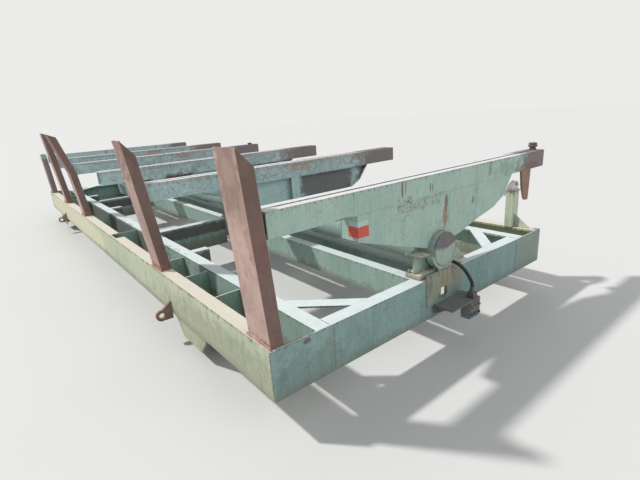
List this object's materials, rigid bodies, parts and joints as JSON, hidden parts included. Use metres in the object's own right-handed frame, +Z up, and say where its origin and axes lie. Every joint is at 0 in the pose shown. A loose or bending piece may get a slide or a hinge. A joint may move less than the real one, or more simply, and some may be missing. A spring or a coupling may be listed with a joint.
{
  "type": "rail log wagon with tilting deck",
  "caption": "Rail-borne log wagon: a welded channel frame on flanged wheels, a torque tube with six tilting arms, and leaning side stakes.",
  "frame": {"origin": "on the floor under the wheels' flanges, below the middle of the frame", "axes": "+X to the unloading side, across the rails; +Y along the rails, away from the end with the valve block; +Z up"},
  "size_m": [3.2316, 8.165, 1.6499],
  "materials": {
    "green_paint": "faded, scuffed satin paint over steel",
    "rusty_steel": "brown rust, dull",
    "wheel_steel": "dark cast steel with worn treads",
    "rod_steel": "ground and plated",
    "grey_paint": "dull grey-green",
    "black_rubber": "matte, dusty"
  },
  "bodies": {
    "frame": {"side_beam_left": "green_paint", "side_beam_right": "green_paint", "inner_beam_left": "green_paint", "inner_beam_right": "green_paint", "end_beam_near": "green_paint", "end_splice": "green_paint", "end_beam_far": "green_paint", "centre_beams": "green_paint", "cross_beams": "green_paint", "pocket_plates": "green_paint", "corner_braces": "green_paint", "axle_brackets": "green_paint", "axle_housings": "green_paint", "saddles": "green_paint", "bearing_caps": "green_paint", "stop_posts": "green_paint", "cylinder_beams": "green_paint", "tow_lugs": "rusty_steel", "stake_1": "rusty_steel", "stake_2": "rusty_steel", "stake_4": "rusty_steel", "stake_5": "rusty_steel", "stake_6": "rusty_steel", "pawls": "grey_paint", "valve_block": "grey_paint", "feed_hose": "black_rubber"},
    "deck": {"torque_tube": "green_paint", "tube_discs": "green_paint", "levers": "green_paint", "arm_1": "green_paint", "arm_2": "green_paint", "arm_3": "green_paint", "arm_4": "green_paint", "arm_5": "green_paint", "arm_6": "green_paint", "hook_plates": "rusty_steel", "log_stops": "rusty_steel"},
    "wheel_near_left": {"wheel_near_left": "wheel_steel", "axle_near_left": "wheel_steel"},
    "wheel_near_right": {"wheel_near_right": "wheel_steel", "axle_near_right": "wheel_steel"},
    "barrel_near": {"barrel_near": "green_paint"},
    "rod_near": {"rod_near": "rod_steel"},
    "wheel_far_left": {"wheel_far_left": "wheel_steel", "axle_far_left": "wheel_steel"},
    "wheel_far_right": {"wheel_far_right": "wheel_steel", "axle_far_right": "wheel_steel"},
    "barrel_far": {"barrel_far": "green_paint"},
    "rod_far": {"rod_far": "rod_steel"}
  },
  "joints": [
    {"name": "deck_tilt", "type": "hinge", "parent": "frame", "child": "deck", "pos_m": [0.012, 0, 0.714], "axis": [0, 1, 0], "range_deg": [0, 12]},
    {"name": "barrel_near_swing", "type": "hinge", "parent": "frame", "child": "barrel_near", "pos_m": [0.4, -2.24, 0.38], "axis": [0, 1, 0], "range_deg": [-0.2, 4.31]},
    {"name": "rod_near_slide", "type": "slide", "parent": "barrel_near", "child": "rod_near", "axis": [0.2009, 0, 0.9796], "range_m": [-0.0961, 0]},
    {"name": "barrel_far_swing", "type": "hinge", "parent": "frame", "child": "barrel_far", "pos_m": [0.4, 2.24, 0.38], "axis": [0, 1, 0], "range_deg": [-0.2, 4.31]},
    {"name": "rod_far_slide", "type": "slide", "parent": "barrel_far", "child": "rod_far", "axis": [0.2009, 0, 0.9796], "range_m": [-0.0961, 0]},
    {"name": "wheel_near_left_spin", "type": "hinge", "parent": "frame", "child": "wheel_near_left", "pos_m": [-1.25, -2.85, 0.175], "axis": [1, 0, 0], "continuous": true},
    {"name": "wheel_near_right_spin", "type": "hinge", "parent": "frame", "child": "wheel_near_right", "pos_m": [1.25, -2.85, 0.175], "axis": [1, 0, 0], "continuous": true},
    {"name": "wheel_far_left_spin", "type": "hinge", "parent": "frame", "child": "wheel_far_left", "pos_m": [-1.25, 2.85, 0.175], "axis": [1, 0, 0], "continuous": true},
    {"name": "wheel_far_right_spin", "type": "hinge", "parent": "frame", "child": "wheel_far_right", "pos_m": [1.25, 2.85, 0.175], "axis": [1, 0, 0], "continuous": true}
  ],
  "couplings": [
    {"joint": "barrel_near_swing", "follows": "deck_tilt", "ratio": 0.3425},
    {"joint": "rod_near_slide", "follows": "deck_tilt", "m_per_rad": -0.4543},
    {"joint": "barrel_far_swing", "follows": "deck_tilt", "ratio": 0.3425},
    {"joint": "rod_far_slide", "follows": "deck_tilt", "m_per_rad": -0.4543}
  ]
}
